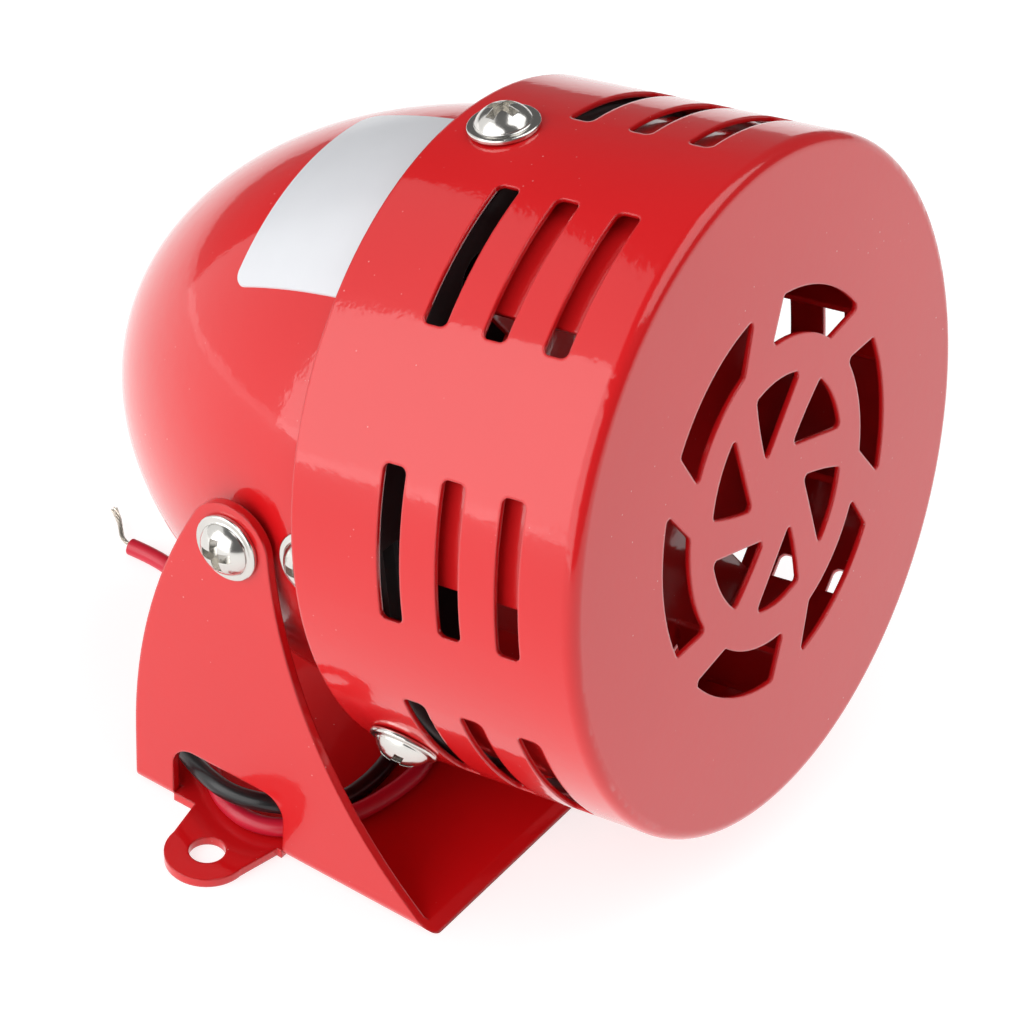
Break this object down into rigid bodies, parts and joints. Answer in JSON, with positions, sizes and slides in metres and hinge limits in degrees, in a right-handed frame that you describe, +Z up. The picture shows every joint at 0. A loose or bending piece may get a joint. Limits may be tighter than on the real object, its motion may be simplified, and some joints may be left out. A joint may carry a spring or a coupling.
{
  "type": "motor alarm siren",
  "caption": "Small red motor siren: slotted drum with a face grille and a rotor inside, egg-shaped motor cover, tilting on a U bracket with two leads",
  "frame": {"origin": "centre of the bracket's mounting face, on its underside", "axes": "+Z up, away from the mounting face; the drum's grille faces -Y; +X along the tilt axis to the right seen from behind the grille's back, so the drum's right side when +Y is away"},
  "size_m": [0.0928, 0.103, 0.0869],
  "materials": {
    "red_enamel": "gloss",
    "label_foil": "satin",
    "nickel": "polished",
    "zinc_steel": "satin",
    "rotor_paint": "gloss",
    "black_enamel": "satin",
    "brass": "satin",
    "spring_steel": "polished",
    "motor_steel": "satin",
    "ferrite": "matte",
    "lamination": "satin",
    "copper": "gloss",
    "carbon": "matte",
    "motor_plastic": "matte",
    "bronze": "satin",
    "black_rubber": "matte",
    "red_insulation": "gloss",
    "black_insulation": "gloss",
    "tinned_copper": "polished"
  },
  "bodies": {
    "bracket": {"bracket": "red_enamel", "black_lead": "black_insulation", "red_lead": "red_insulation", "black_strands": "tinned_copper", "red_strands": "tinned_copper"},
    "siren": {"front_drum": "red_enamel", "rear_dome": "red_enamel", "mounting_plate": "black_enamel", "label": "label_foil", "drum_screws": "nickel", "dome_screws": "nickel", "pivot_screws": "nickel", "drum_weld_nuts": "zinc_steel", "dome_weld_nuts": "zinc_steel", "pivot_weld_nuts": "zinc_steel", "pivot_washers": "black_rubber", "grommet": "black_rubber", "motor_can": "motor_steel", "front_bush": "bronze", "rear_bush": "bronze", "motor_magnets": "ferrite", "motor_end_cap": "motor_plastic", "brushes": "carbon", "motor_terminals": "brass", "motor_screws": "zinc_steel", "black_inner_wire": "black_insulation", "red_inner_wire": "red_insulation"},
    "spinner": {"rotor": "rotor_paint", "rotor_hub": "brass", "rotor_nut": "nickel", "motor_shaft": "spring_steel", "armature_windings": "copper", "armature_core": "lamination", "commutator": "copper"}
  },
  "joints": [
    {"name": "tilt", "type": "hinge", "parent": "bracket", "child": "siren", "pos_m": [0, 0.0078, 0.0409], "axis": [-1, 0, 0], "range_deg": [-7.5, 50]},
    {"name": "rotor_spin", "type": "hinge", "parent": "siren", "child": "spinner", "pos_m": [0, 0.0078, 0.0409], "axis": [0, -0.986, 0.1668], "continuous": true}
  ]
}
